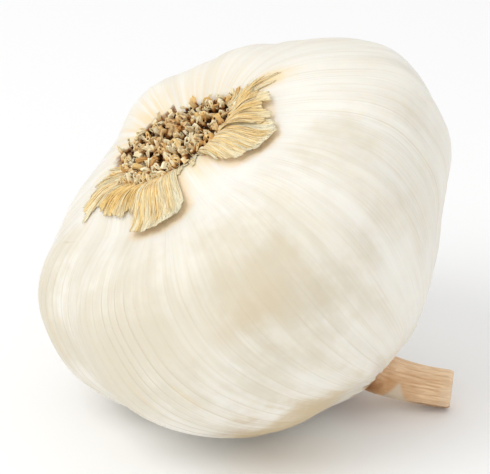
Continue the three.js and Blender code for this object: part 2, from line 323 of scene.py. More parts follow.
def tube(name, first, rings, last, across, along, points_data=None):
    """A closed piece from rings between two poles. The UV map holds across, round, and along, down it."""
    rows, columns = rings.shape[:2]
    points = np.vstack([first[None], rings.reshape(-1, 3), last[None]])
    faces = ring_faces(rows, columns)
    across = np.broadcast_to(across, (rows, columns + 1))
    along = np.broadcast_to(np.reshape(along, (rows, -1)), (rows, columns))
    corners = np.concatenate(faces)
    owner = np.repeat(np.arange(len(faces)) // (rows + 1), [len(face) for face in faces])
    row, column = np.divmod(corners - 1, columns)
    # The last column of faces closes the ring, so its far side takes the far end of the pattern.
    column = np.where((owner == columns - 1) & (column == 0), columns, column)
    pole = (corners == 0) | (corners == len(points) - 1)
    column = np.where(pole, owner, column)
    row = np.clip(np.where(corners == 0, 0, row), 0, rows - 1)
    uv = np.stack([across[row, column], along[row, column % columns]], -1)
    data = {
        key: np.concatenate([values[0, :1], values.ravel(), values[-1, :1]])
        for key, values in (points_data or {}).items()
    }
    return new_piece(name, points, faces, data, uv)


def sheet_faces(shape, start):
    """The faces of one thin sheet, closed between its top and bottom grids."""
    count = shape[0] * shape[1]
    grid = start + np.arange(count).reshape(shape)
    top = np.stack([grid[:-1, :-1], grid[:-1, 1:], grid[1:, 1:], grid[1:, :-1]], -1).reshape(-1, 4)
    both = np.stack([top, top[:, ::-1] + count], 1).reshape(-1, 4)
    border = np.concatenate([grid[0], grid[1:, -1], grid[-1, -2::-1], grid[-2:0:-1, 0]])
    after = np.roll(border, -1)
    return np.concatenate([both, np.stack([after, border, border + count, after + count], -1)])


def sheets(name, grids):
    """One piece from thin sheets. Each has its top, its bottom, and values for the points of one side."""
    points, faces, data = [], [], {}
    start = 0
    for top, bottom, values in grids:
        shape = top.shape[:2]
        points += [top.reshape(-1, 3), bottom.reshape(-1, 3)]
        faces.append(sheet_faces(shape, start))
        start += 2 * top[..., 0].size
        for key, value in values.items():
            data.setdefault(key, []).append(np.tile(np.broadcast_to(value, shape).ravel(), 2))
    data = {key: np.concatenate(value) for key, value in data.items()}
    faces = np.concatenate(faces)
    corners = faces.ravel()
    uv = np.stack([data.pop("across")[corners], data["along"][corners]], -1)
    return new_piece(name, np.concatenate(points), faces.tolist(), data, uv)


def bake(piece):
    """Turns what a piece's modifiers make into its plain mesh, none of it below the floor."""
    graph = bpy.context.evaluated_depsgraph_get()
    mesh = bpy.data.meshes.new_from_object(
        piece.evaluated_get(graph), preserve_all_data_layers=True, depsgraph=graph
    )
    piece.modifiers.clear()
    piece.data = mesh
    mesh.name = piece.name
    places = np.empty(len(mesh.vertices) * 3, np.float32)
    mesh.vertices.foreach_get("co", places)
    places[2::3] = np.maximum(places[2::3], 0)
    mesh.vertices.foreach_set("co", places)
    mesh.update()


def finished(piece, node=None):
    """Puts a piece on the bulb's body, and hides the CAD node it stands for."""
    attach(piece, BODY)
    if node:
        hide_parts(node)


# ---------------------------------------------------------------- node trees

UNEVEN_RIBS = 0.7  # how uneven the spacing of the ribs is, from 0 to 1
GLOW_REACH = (0.002, 0.0014, 0.0008)  # how far red, green and blue light spread under a surface


class Value:
    """What a node puts out. Arithmetic with it adds the nodes that work out the answer."""

    def __init__(self, socket):
        self.socket = socket
        self.tree = socket.id_data

    def __getitem__(self, output):
        """Another output of the same node."""
        return Value(self.socket.node.outputs[output])

    def __add__(self, other):
        return calc("ADD", self, other)

    def __sub__(self, other):
        return calc("SUBTRACT", self, other)

    def __mul__(self, other):
        return calc("MULTIPLY", self, other)

    def __truediv__(self, other):
        return calc("DIVIDE", self, other)

    def step(self, low, high, start=0.0, end=1.0):
        """A smooth step from start to end, as the value goes from low to high."""
        inputs = {"Value": self, "From Min": low, "From Max": high, "To Min": start, "To Max": end}
        return add(self.tree, "ShaderNodeMapRange", inputs, interpolation_type="SMOOTHSTEP")


def feed(node, inputs):
    """Gives each input a plain value, or links it where another node's value is given."""
    for key, value in inputs.items():
        if isinstance(value, Value):
            node.id_data.links.new(value.socket, node.inputs[key])
        else:
            node.inputs[key].default_value = value


def add(tree, kind, inputs=None, **settings):
    """Adds a node, and gives the first value that it puts out."""
    node = tree.nodes.new(kind)
    for name, value in settings.items():
        setattr(node, name, value)
    feed(node, inputs or {})
    return Value(node.outputs[0])


def calc(operation, value, *others):
    """One step of arithmetic on numbers."""
    return add(value.tree, "ShaderNodeMath", dict(enumerate((value, *others))), operation=operation)


def lines_between(across, unevenness):
    """How far a place is from the nearest line, where lines are about 1 apart and as uneven as is said."""
    inputs = {"W": across, "Scale": 1.0, "Randomness": unevenness}
    settings = {"voronoi_dimensions": "1D", "feature": "DISTANCE_TO_EDGE"}
    return add(across.tree, "ShaderNodeTexVoronoi", inputs, **settings)["Distance"]


def stored(tree, name):
    """A number stored on the points that a geometry tree is given."""
    return add(tree, "GeometryNodeInputNamedAttribute", {"Name": name}, data_type="FLOAT")


def new_group(name, kind, inputs):
    """A node group, and what it takes in. Inputs are label: default value, or label: kind of socket."""
    tree = bpy.data.node_groups.new(name, kind)
    kinds = {float: "NodeSocketFloat", int: "NodeSocketInt"}
    for label, default in inputs.items():
        kind = kinds.get(type(default), default)
        socket = tree.interface.new_socket(label, in_out="INPUT", socket_type=kind)
        if kind != default:
            socket.default_value = default
    return tree, add(tree, "NodeGroupInput")


def end_group(tree, kind, outputs):
    """Ends a node group with what it puts out, all of one kind of socket."""
    for label in outputs:
        tree.interface.new_socket(label, in_out="OUTPUT", socket_type=kind)
    feed(tree.nodes.new("NodeGroupOutput"), outputs)


def geometry_tree(name, inputs):
    """A geometry node tree that takes a shape, its material and more."""
    fixed = {"Geometry": "NodeSocketGeometry", "Material": "NodeSocketMaterial"}
    return new_group(name, "GeometryNodeTree", {**fixed, **inputs})


def end_geometry(tree, take, shape):
    """Ends a geometry tree: what it made is made real and gets its material."""
    real = add(tree, "GeometryNodeRealizeInstances", {0: shape})
    painted = add(tree, "GeometryNodeSetMaterial", {"Geometry": real, "Material": take["Material"]})
    end_group(tree, "NodeSocketGeometry", {"Geometry": painted})
    return tree


def run_tree(piece, tree, **values):
    """Puts a geometry node tree on a piece, with its inputs set by their labels, and bakes it."""
    modifier = piece.modifiers.new(tree.name, "NODES")
    modifier.node_group = tree
    for item in tree.interface.items_tree:
        key = item.name.lower().replace(" ", "_")
        if item.in_out == "INPUT" and key in values:
            modifier[item.identifier] = values.pop(key)
    if values:
        raise RuntimeError(f"{tree.name} has no inputs named {sorted(values)}")
    bake(piece)


# ---------------------------------------------------------------- shared shader groups


def make_crease_group():
    """Fine lines where ribs meet, at uneven spacing along a number that runs across them."""
    tree, take = new_group(
        "Crease Lines", "ShaderNodeTree", {"Across": 0.0, "Width": 0.1, "Unevenness": UNEVEN_RIBS}
    )
    across, unevenness = take["Across"], take["Unevenness"]
    inputs = {"W": across, "Scale": 1.0, "Randomness": unevenness}
    ribs = add(tree, "ShaderNodeTexVoronoi", inputs, voronoi_dimensions="1D")
    end_group(tree, "NodeSocketFloat", {
        "Line": lines_between(across, unevenness).step(0.0, take["Width"], 1.0, 0.0),
        "Band": lines_between(across + 0.14, unevenness).step(0.02, 0.14, 1.0, 0.0),
        "Tone": add(tree, "ShaderNodeSeparateColor", {0: ribs["Color"]}),
    })


def make_streak_group():
    """Long soft streaks: noise that changes fast across the grain and slowly along it."""
    inputs = {"Across": 0.0, "Along": 0.0, "Across Scale": 2.0, "Along Scale": 2.0, "Low": 0.35, "High": 0.65}
    tree, take = new_group("Streaks", "ShaderNodeTree", inputs)
    scaled = {"X": take["Across"] * take["Across Scale"], "Y": take["Along"] * take["Along Scale"]}
    place = add(tree, "ShaderNodeCombineXYZ", scaled)
    noise = add(
        tree, "ShaderNodeTexNoise", {"Vector": place, "Scale": 1.0, "Detail": 3.0}, noise_dimensions="2D"
    )
    end_group(tree, "NodeSocketFloat", {"Mask": noise.step(take["Low"], take["High"])})


def make_blotch_group():
    """Soft irregular patches in space."""
    inputs = {"Place": "NodeSocketVector", "Scale": 60.0, "Low": 0.45, "High": 0.7}
    tree, take = new_group("Blotches", "ShaderNodeTree", inputs)
    noise = add(
        tree, "ShaderNodeTexNoise",
        {"Vector": take["Place"], "Scale": take["Scale"], "Detail": 4.0, "Roughness": 0.6},
    )
    end_group(tree, "NodeSocketFloat", {"Mask": noise.step(take["Low"], take["High"])})


def make_mark_group():
    """A soft mark about one place in a piece's own weave, with its own width and length."""
    tree, take = new_group(
        "Mark", "ShaderNodeTree",
        {"Across": 0.0, "Along": 0.0, "Centre Across": 0.0, "Centre Along": 0.5, "Half Width": 1.0,
         "Half Length": 0.1, "Unrest": 0.0},
    )
    x = (take["Across"] - take["Centre Across"]) / take["Half Width"]
    y = (take["Along"] - take["Centre Along"]) / take["Half Length"]
    place = add(tree, "ShaderNodeCombineXYZ", {"X": x, "Y": y})
    away = add(tree, "ShaderNodeVectorMath", {0: place}, operation="LENGTH")["Value"] + take["Unrest"]
    end_group(tree, "NodeSocketFloat", {"Mask": away.step(0.0, 1.0, 1.0, 0.0)})


def make_shared_groups():
    """The shader effects that the materials share."""
    make_crease_group()
    make_streak_group()
    make_blotch_group()
    make_mark_group()


class Paint:
    """A material in the making, with the colour so far."""

    def __init__(self, name, colour, roughness=0.5, specular=0.5, subsurface=0.0):
        self.material = bpy.data.materials.new(name)
        self.material.use_nodes = True
        self.tree = self.material.node_tree
        self.shader = self.tree.nodes["Principled BSDF"]
        self.colour = opaque(colour)
        feed(self.shader, {
            "Roughness": roughness, "Specular IOR Level": specular, "Subsurface Weight": subsurface,
            "Subsurface Radius": GLOW_REACH, "Subsurface Scale": 1.0,
        })

    @cached_property
    def weave(self):
        """Where a place is across and along the piece's own pattern."""
        pattern = add(self.tree, "ShaderNodeUVMap", uv_map="weave")
        place = add(self.tree, "ShaderNodeSeparateXYZ", {0: pattern})
        return {"Across": place[0], "Along": place[1]}

    def attribute(self, name):
        """A number stored on the piece's points."""
        return add(self.tree, "ShaderNodeAttribute", attribute_name=name)["Fac"]

    def group(self, name, inputs):
        """Places a shared node group."""
        return add(self.tree, "ShaderNodeGroup", inputs, node_tree=bpy.data.node_groups[name])

    def streaks(self, across, along, low=0.35, high=0.65):
        """Streaks along the weave, so many across it and along it."""
        inputs = {"Across Scale": across, "Along Scale": along, "Low": low, "High": high}
        return self.group("Streaks", {**self.weave, **inputs})

    def blotches(self, scale, low, high):
        """Patches in the piece's own space."""
        place = add(self.tree, "ShaderNodeTexCoord")["Object"]
        return self.group("Blotches", {"Place": place, "Scale": scale, "Low": low, "High": high})

    def mark(self, across, along, half_width, half_length, unrest=0.0):
        """A soft mark at one place in the weave."""
        return self.group("Mark", {
            **self.weave, "Centre Across": across, "Centre Along": along, "Half Width": half_width,
            "Half Length": half_length, "Unrest": unrest,
        })

    def coat(self, colour, strength):
        """Lays a colour over what is there, as strongly as strength says."""
        inputs = {0: strength, 6: self.colour, 7: opaque(colour)}
        self.colour = add(self.tree, "ShaderNodeMix", inputs, data_type="RGBA")[2]

    def done(self, height=None, relief=0.1, strength=0.5, roughness=None):
        """Ends the material with its colour, a bump of so many mm, and a roughness that varies."""
        ends = {"Base Color": self.colour}
        if height is not None:
            inputs = {"Height": height, "Distance": relief * MM, "Strength": strength}
            ends["Normal"] = add(self.tree, "ShaderNodeBump", inputs)
        if roughness is not None:
            ends["Roughness"] = roughness
        feed(self.shader, ends)
        return self.material


def opaque(colour):
    """A colour with full alpha, as a tuple."""
    return (*colour, 1.0)


# ---------------------------------------------------------------- what a user may change


def number_property(name, description, default, low, high, **kind):
    """A number that a user may change."""
    return FloatProperty(name=name, description=description, default=default, min=low, max=high, **kind)


def length_property(name, description, default, low, high):
    """A length in mm that a user may change."""
    return number_property(name, description, default * MM, low * MM, high * MM, unit="LENGTH", precision=5)


def angle_property(name, description, default):
    """An angle in degrees that a user may change."""
    return number_property(name, description, math.radians(default), 0, math.radians(90), unit="ROTATION")


def count_property(name, description, default, low, high):
    """A whole number that a user may change."""
    return IntProperty(name=name, description=description, default=default, min=low, max=high)


def colour_property(name, description, *screen):
    """A colour that a user may change. Its default is a screen colour of three levels from 0 to 255."""
    levels = [level / 255 for level in screen]
    linear = tuple(v / 12.92 if v <= 0.04045 else ((v + 0.055) / 1.055) ** 2.4 for v in levels)
    return FloatVectorProperty(
        name=name, description=description, subtype="COLOR", size=3, min=0, max=1, default=linear
    )


# ---------------------------------------------------------------- skin


class GARLIC_PG_skin(bpy.types.PropertyGroup):
    """The papery skin over the cloves."""

    ribs: count_property("Ribs", "Ribs round the bulb", 94, 20, 240)
    rib_depth: length_property("Rib Depth", "How deep the creases between ribs are", 0.075, 0, 1)
    rib_round: number_property(
        "Rib Roundness", "How far each rib rounds down into its creases", 0.3, 0.02, 0.5, subtype="FACTOR"
    )
    base: colour_property("Skin", "The skin's own colour", 242, 239, 230)
    # Also painted shade over the front and the left side, by the shade marks.
    shade: colour_property("Streaks", "Thin places, where the clove shows through", 216, 207, 185)
    # A painted highlight: beside each crease, and below the root plate on the front right.
    white: colour_property("White", "The whitest bands of skin", 251, 249, 243)
    vein: colour_property("Creases", "The lines between ribs", 190, 168, 124)
    # Real tan stains, and also painted shade on the underside and in a hollow between cloves.
    stain_and_shade: colour_property("Stains", "Patches of old tan skin", 208, 188, 152)
    straw: colour_property("Straw", "The dry skin beside the root plate", 240, 216, 166)
    # Painted warm shadow round the edges of the lifted flaps.
    tan: colour_property("Tan", "Tanned skin under the torn flaps", 246, 212, 156)
    # Painted shade: the wall round the root plate, and a band at the far rim.
    recess: colour_property("Recess", "The wall round the root plate", 118, 66, 18)
    # Also a little painted shade low on the underside.
    neck: colour_property("Neck", "The skin round the foot of the stem", 160, 116, 66)


SKIN_COLUMNS = 840
SKIN_ROWS = 112
RECESS_ALONG = -0.05  # stands for the foot of the wall round the root plate
SKIN_RAISE = 0.12 * MM  # of the ribs' crests over the plain form
SEAM = math.radians(90)  # where the ribs' pattern starts and ends
# How strong the ribs are at each angle, in degrees.
RIBBED = {
    -180: 1.0, -140: 1.0, -112: 0.7, -90: 0.3, -55: 0.18, -30: 0.25, 5: 0.3, 60: 0.5, 120: 0.8, 180: 1.0,
}
# Where the outer skin starts, as a share of the way to the neck, at each angle in degrees.
SKIN_STARTS = {
    -180: 0.19, -169: 0.174, -163: 0.151, -140: 0.17, -115: 0.2, -89: 0.24, -70: 0.1, -60: -1, 150: -1,
    180: 0.19,
}
# Kinds of unevenness: each has a seed, and the counts of its waves round the bulb.
RIB_PATCHES = (31, (7, 11, 19, 29))
RIB_DRIFT = (17, (2, 3, 5))
RIBS_WANDER = 0.7  # how far they drift aside, in ribs
LUMPS = (5, (4, 7, 11, 17))
FOLDS = (23, (13, 19, 27, 38))
GATHERS = (9, (23, 37, 41, 59))
LUMP_HEIGHT = 0.12 * MM
FOLD_HEIGHT = 0.3 * MM
GATHER_HEIGHT = 0.2 * MM


def at_degrees(table, angle):
    """Reads a table that is keyed by degrees, at angles in radians."""
    degrees = (np.degrees(angle) + 180) % 360 - 180
    return np.interp(degrees, list(table), list(table.values()))


def rib_strength(angle, share):
    """How strong the creases are at each place, from 0 to 1."""
    patchy = 0.66 + 0.34 * waver(angle, *RIB_PATCHES, share * 4)
    begins = smooth((share - np.maximum(0.05, at_degrees(SKIN_STARTS, angle) - 0.02)) / 0.12)
    return np.clip(at_degrees(RIBBED, angle) * patchy * begins * smooth((0.97 - share) / 0.1), 0, 1)


def skin_lumps(angle, share):
    """Soft unevenness of the skin: broad folds that follow the cloves, and gathers at the neck."""
    middle = np.sin(np.pi * np.clip(share, 0, 1))
    lumps = LUMP_HEIGHT * waver(angle, *LUMPS, share * 7) * middle
    folded = 1 - 0.8 * at_degrees(RIBBED, angle)
    lumps = lumps + FOLD_HEIGHT * folded * waver(angle, *FOLDS, share * 1.6) * middle
    gathers = waver(angle, *GATHERS, share * 2) * smooth((share - 0.72) / 0.2)
    return lumps + GATHER_HEIGHT * gathers * smooth((1.02 - share) / 0.1)


def make_rib_tree():
    """Sinks a crease into the skin wherever two ribs meet."""
    tree, take = geometry_tree(
        "Ribbed Skin", {"Rib Depth": 0.0001, "Rib Round": 0.3, "Unevenness": UNEVEN_RIBS}
    )
    lines = lines_between(stored(tree, "rib"), take["Unevenness"])
    depth = lines.step(0.0, take["Rib Round"], -1.0, 0.0) * stored(tree, "crease") * take["Rib Depth"]
    inputs = {0: add(tree, "GeometryNodeInputNormal"), "Scale": depth}
    offset = add(tree, "ShaderNodeVectorMath", inputs, operation="SCALE")
    moved = add(tree, "GeometryNodeSetPosition", {"Geometry": take["Geometry"], "Offset": offset})
    return end_geometry(tree, take, moved)


# Marks on the skin: degrees, share, half width in degrees, half length in share, strength, colour. The shade,
# white, neck and lower stain marks are painted shade and highlight; the straw marks are the skin's own
# colour.
SKIN_MARKS = (
    # Painted shade over the front and the left side.
    (-113, 0.36, 125, 0.27, 0.7, "shade"),
    (-125, 0.32, 60, 0.13, 0.45, "shade"),
    (-82, 0.37, 36, 0.22, 0.55, "shade"),
    # A tan patch in the hollow between two cloves: partly a stain, partly painted shade.
    (-82, 0.395, 27, 0.14, 0.24, "stain_and_shade"),
    (-91, 0.402, 14, 0.045, 0.4, "stain_and_shade"),
    # A painted highlight below the root plate, where the skin faces the light.
    (-55, 0.12, 50, 0.1, 0.6, "white"),
    # Painted shade on the right of the front.
    (-40, 0.3, 22, 0.16, 0.3, "shade"),
    (-114.5, 0.46, 1.8, 0.06, 0.25, "straw"),
    (-128, 0.44, 1.2, 0.06, 0.2, "straw"),
    (-164.5, 0.31, 0.9, 0.07, 0.9, "straw"),
    # Painted shade on the underside, near the floor: these three marks and the neck mark after them.
    (-126, 0.68, 30, 0.15, 1.0, "stain_and_shade"),
    (-100, 0.72, 28, 0.12, 0.9, "stain_and_shade"),
    (-120, 0.72, 34, 0.14, 0.9, "stain_and_shade"),
    (-126, 0.61, 24, 0.04, 0.25, "neck"),
    # Painted shade along the left edge.
    (-170, 0.27, 22, 0.16, 0.9, "shade"),
    (-4, 0.07, 10, 0.13, 0.9, "straw"),
    (-78, 0.0, 16, 0.09, 0.6, "straw"),
)
# The far rim round the root plate, with its straw fringe and a band of painted shadow, and the outer skin's
# torn edge: as above, up to half length.
FAR_RIM = (122, 0.0, 78, 0.09)
TORN_EDGE = (-166, 0.16, 5, 0.2)


# A torn flap: where it starts and ends in degrees, how far it reaches (mm) at even steps between
# them, how high its end lifts (mm), how ragged its end is (mm), and how yellow it is.
Flap = namedtuple("Flap", "start end reach lift ragged tone")
FLAPS = (
    Flap(-178, -160, (4.6, 6.2, 6.2, 4.8), 0.15, 2.2, 0.45),
    Flap(-160, -139, (3.8, 4.4, 4.9), 0.35, 0.8, 1.0),
    Flap(-141, -119, (4.6, 5.3, 4.6, 5.6), 0.5, 0.8, 0.95),
    Flap(-121, -89, (8.2, 9.1, 9.4, 9.5, 9.1, 8.9, 7.6), 0.95, 0.35, 0.55),
    Flap(-91, -66, (2.4, 1.5, 2.0, 1.4, 2.6), 0.05, 1.1, 0.2),
    Flap(-68, -34, (3.0, 6.0, 7.6, 8.8, 9.7, 10.1, 8.0), 0.85, 0.5, 0.5),
    Flap(-44, -17, (2.4, 5.6, 6.8, 6.6, 6.0, 4.8), 0.95, 1.5, 0.9),
    Flap(-20, -7, (4.6, 4.0, 3.6), 0.5, 0.9, 0.95),
    Flap(-9, -5, (3.0, 6.4, 7.4, 4.0), 0.05, 0.6, 0.8),
    Flap(-5, -1.5, (4.0, 7.9, 7.2, 3.2), 0.0, 0.6, 0.75),
    Flap(-2, 3, (2.6, 5.2, 3.6), 0.0, 0.8, 0.75),
    Flap(1, 24, (2.8, 1.2, 0.8), 0.05, 1.1, 0.6),
    Flap(163, 183, (0.6, 2.4, 4.4), 0.1, 1.8, 0.55),
)
FLAP_SHADOW_REACH = 0.7 * MM  # how far the painted shadow reaches past a lifted flap
FLAP_SHADOW_LIFT = 0.8  # the least lift at which a flap lays painted shadow on the skin


def flap_reach(flap, angle):
    """How far a flap reaches at an angle, before it is torn ragged."""
    at = (np.degrees(angle) - flap.start) / (flap.end - flap.start)
    return np.interp(at, np.linspace(0, 1, len(flap.reach)), flap.reach) * MM


def tanned(angle, share):
    """How much painted shadow the lifted flaps lay on the skin round their edges."""
    turned = (angle + math.pi) % TURN_ROUND - math.pi
    tan = 0
    for flap in FLAPS:
        if flap.lift < FLAP_SHADOW_LIFT:
            continue
        middle = math.radians(flap.start + flap.end) / 2
        half = math.radians(flap.end - flap.start) / 2
        aside = np.maximum(np.abs(turned - middle) - half, 0) * (PLATE_RADIUS + share * SKIN_LINE.length)
        past = np.maximum(share * SKIN_LINE.length - flap_reach(flap, turned), 0)
        tan = np.maximum(tan, np.exp(-(aside**2 + past**2) / FLAP_SHADOW_REACH**2))
    return tan


def make_skin_material(look):
    """Off-white papery skin, with creases, streaks, stains and straw beside the root plate, and painted
    shade, highlights and shadows.
    """
    skin = Paint("garlic_skin", look.base, specular=0.42, subsurface=0.3)
    across, along = skin.weave.values()
    crease = skin.attribute("crease")
    ribs = skin.group("Crease Lines", {"Across": across, "Width": 0.085})
    fine = skin.group("Crease Lines", {"Across": across * 3.1, "Width": 0.2, "Unevenness": 1.0})["Line"]
    broad = skin.streaks(0.33, 2.4, 0.3, 0.75)
    streak = skin.streaks(1.3, 4.0)
    grain = skin.streaks(6.0, 12.0, 0.2, 0.8)
    comes = skin.streaks(0.8, 6.0, 0.36, 0.56)
    cloud = skin.blotches(90.0, 0.36, 0.7)
    ragged = skin.blotches(420.0, 0.2, 0.8)
    unrest = cloud * -0.5 + streak * -0.15 + 0.3

    def mark(degrees, share, half_width, half_length, unrest=0.0):
        """A soft mark on the skin. Its place across is the number of the rib that is there."""
        rib = (degrees - math.degrees(SWIRL) * share - math.degrees(SEAM)) % 360 / 360 * look.ribs
        return skin.mark(rib, share, half_width / 360 * look.ribs, half_length, unrest)

    # Each rib has its own tone, and a painted highlight along one side of its crease, as the lit side of the
    # step.
    skin.coat(look.shade, (ribs["Tone"] - 0.35) * crease * 0.36 + broad * 0.3 + streak * 0.1)
    skin.coat(look.white, ribs["Band"] * crease * 0.4)
    skin.coat(look.vein, ribs["Line"] * crease * comes.step(0.0, 1.0, 0.3, 0.85))
    skin.coat(look.vein, fine * comes * streak * 0.14)
    skin.coat(look.stain_and_shade, cloud * 0.12)
    # The marks lay painted shade and highlight, stains and straw on the skin.
    for *place, strength, name in SKIN_MARKS:
        skin.coat(getattr(look, name), mark(*place, unrest) * strength)
    # Round the root plate the far skin has a straw fringe, and a band of painted shadow at its very edge,
    # beside the roots.
    far_rim = mark(*FAR_RIM, unrest)
    skin.coat(look.straw, far_rim * (streak * 0.6 + 0.2))
    near = (along + ragged * 0.02).step(0.024, 0.038, 1.0, 0.0) * far_rim.step(0.0, 0.3)
    skin.coat(look.recess, near)
    # The torn edge of the outer skin stands up a little, and has a thin line along it.
    torn = mark(*TORN_EDGE)
    past = along + ragged * 0.014 - skin.attribute("starts")
    over = past.step(-0.0015, 0.0015)
    skin.coat(look.vein, over * past.step(0.001, 0.006, 1.0, 0.0) * torn * 0.2)
    # Painted warm shadow on the skin round the edges of the lifted flaps.
    skin.coat(look.tan, skin.attribute("tanned") * 0.5)
    skin.coat(look.straw, along.step(0.0, 0.12, 1.0, 0.0) * (streak + 0.1) * 0.34)
    # The wall round the root plate is painted dark, as shade inside the recess.
    skin.coat(look.recess, along.step(RECESS_ALONG, 0.0, 1.0, 0.0))
    skin.coat(look.neck, along.step(0.91, 0.95) * (streak * 0.4 + 0.6))
    height = grain * 0.12 - ribs["Line"] * crease + over * torn * 1.2
    # The band of painted shadow is made rough, so that it shows no sheen.
    roughness = calc("MAXIMUM", grain.step(0.0, 1.0, 0.38, 0.5), near)
    return skin.done(height, relief=0.07, strength=0.7, roughness=roughness)


class GARLIC_OT_skin(bpy.types.Operator):
    """Make the ribbed papery skin over the cloves"""

    bl_idname = "garlic.make_skin"
    bl_label = "Make Skin"

    def execute(self, context):
        look = context.scene.garlic_skin
        angles = SEAM + np.linspace(0, TURN_ROUND, SKIN_COLUMNS + 1)
        shares = np.linspace(0, 1, SKIN_ROWS)
        angle, share = np.meshgrid(angles, shares)
        swirled = angle + SWIRL * share
        recess = PLATE_TOP - PLATE_THICKNESS - GAP
        wall = about_axis(PLATE_RADIUS + GAP, angles[:-1], recess)
        skin = skin_shape(swirled, share, SKIN_RAISE + skin_lumps(swirled, share))[:, :-1]
        ribs = np.arange(SKIN_COLUMNS + 1) * (look.ribs / SKIN_COLUMNS)
        ribs = ribs + RIBS_WANDER * waver(angle, *RIB_DRIFT, share * 5) * smooth(share / 0.3)

        def every_ring(values):
            """Values for the foot of the recess's wall and for the skin."""
            return np.vstack([values[:1], values])

        values = {
            "rib": ribs,
            "crease": rib_strength(swirled, share),
            "starts": at_degrees(SKIN_STARTS, swirled),
            "tanned": tanned(swirled, share),
        }
        piece = tube(
            "skin",
            placed(about_axis(0, 0, recess)),
            placed(np.concatenate([wall[None], skin])),
            placed(about_axis(0, 0, -NECK_END)),
            every_ring(ribs),
            np.append(RECESS_ALONG, shares),
            {name: every_ring(value[:, :-1]) for name, value in values.items()},
        )
        run_tree(
            piece, make_rib_tree(), rib_depth=look.rib_depth, rib_round=look.rib_round,
            material=make_skin_material(look),
        )
        finished(piece, "bulb")
        return {"FINISHED"}


# ---------------------------------------------------------------- torn skins


class GARLIC_PG_husk(bpy.types.PropertyGroup):
    """The dry outer skins, torn back round the root plate."""

    thickness: length_property("Thickness", "How thick each dry skin is", 0.16, 0.05, 0.6)
    strand: length_property("Strand Width", "How wide the dry skins' fibres are", 0.42, 0.1, 2)
    fibres: count_property("Fibres", "Loose fibres on the torn skins", 230, 0, 2000)
    fibre_radius: length_property("Fibre Radius", "How thick a loose fibre is", 0.07, 0.01, 0.5)
    pale: colour_property("Pale", "The palest dry skin", 255, 248, 216)
    straw: colour_property("Straw", "The most yellow dry skin", 255, 220, 142)
    dark: colour_property("Dark", "The lines between its fibres", 150, 88, 32)
    speck: colour_property("Specks", "The specks near its torn margin", 96, 76, 48)


FLAP_STEP = 0.36  # degrees between columns
FLAP_ROWS = 18
FLAP_START = -0.02  # share of the way to the neck: under the outermost roots
FLAP_CLEAR = 0.07 * MM  # between a flap's foot and the skin
NARROW_FLAP = 12  # degrees: flaps narrower than this are thinner too
LONG_FLAP = 8  # mm: flaps that reach less far have a fainter margin
SWAY = math.radians(1.3)  # how far a flap's fibres bend aside towards their ends
SWAY_WAVES = (9, 17, 31)
FLAP_SEED, FIBRE_SEED = 4, 8
FIBRE_POINTS, HAIR_POINTS = 12, 14
HAIRS = 40  # thin roots that curl out over the plate's edge
HAIR_TONES = (0.1, 0.6, 1.5)  # 1.5 is a dark one


def flap_lift(flap, share, side):
    """How high a flap stands off the skin, at a share of its length and at -1 to 1 across it."""
    curl = 0.12 * flap.lift * np.abs(side) ** 3 * share
    return (FLAP_CLEAR / MM + flap.lift * share**1.7 + curl) * MM


def strands(angle, width, random):
    """Splits a flap's width into fibres: each column's fibre, and its place from 0 to 1 within it."""
    across = (angle - angle[0]) * 1.4 * PLATE_RADIUS
    widths = width * random.uniform(0.35, 2.1, int(across[-1] / width * 2) + 4)
    ends = np.cumsum(widths)
    strand = np.searchsorted(ends, across)
    return strand, 1 - (ends[strand] - across) / widths[strand]


def flap_grid(flap, thickness, width, random):
    """The top and bottom of one flap, with the values that its material reads."""
    columns = max(4, round((flap.end - flap.start) / FLAP_STEP))
    angle = np.radians(np.linspace(flap.start, flap.end, columns))
    strand, place = strands(angle, width, random)
    own = random.uniform(-1, 1, (3, strand.max() + 1))[:, strand]
    rounded = np.sin(np.pi * np.clip(place, 0, 1)) ** 0.6
    ends = 0.6 * own[0] + 0.35 * rounded + random.uniform(-0.12, 0.12, columns)
    reach = np.maximum(flap_reach(flap, angle) + flap.ragged * MM * (ends - 0.3), 0.5 * MM)
    share = np.linspace(0, 1, FLAP_ROWS)[:, None]
    side = np.linspace(-1, 1, columns)
    ridge = (0.13 * (rounded - 0.6) + 0.05 * own[1]) * MM * (0.45 + 0.55 * share)
    angle_there = angle + SWAY * waver(angle, int(flap.start) % 97, SWAY_WAVES) * share
    height = flap_lift(flap, share, side) + np.maximum(ridge, -0.6 * FLAP_CLEAR)
    height = height + 0.09 * MM * own[2] * share**3 * (0.3 + flap.lift)
    at = FLAP_START + share * (reach / SKIN_LINE.length - FLAP_START)
    height = height + SKIN_RAISE + skin_lumps(angle_there, at)
    half = thickness * (1 - 0.6 * share) * min(1, (flap.end - flap.start) / NARROW_FLAP)
    end_margin = smooth((share - 0.65) / 0.25) * smooth((side + 0.5) / 0.6)
    side_margin = smooth((side - 0.6) / 0.25) * smooth((share - 0.35) / 0.3)
    values = {
        "across": np.degrees(angle) * 0.25,
        "along": share,
        "tone": np.maximum(flap.tone + 0.5 * own[1], 0),
        "margin": np.maximum(end_margin, side_margin) * (1.0 if max(flap.reach) > LONG_FLAP else 0.25),
        "seam": 1 - rounded,
    }
    top = placed(skin_shape(angle_there, at, height + half))
    bottom = placed(skin_shape(angle_there, at, height))
    return top, bottom, values


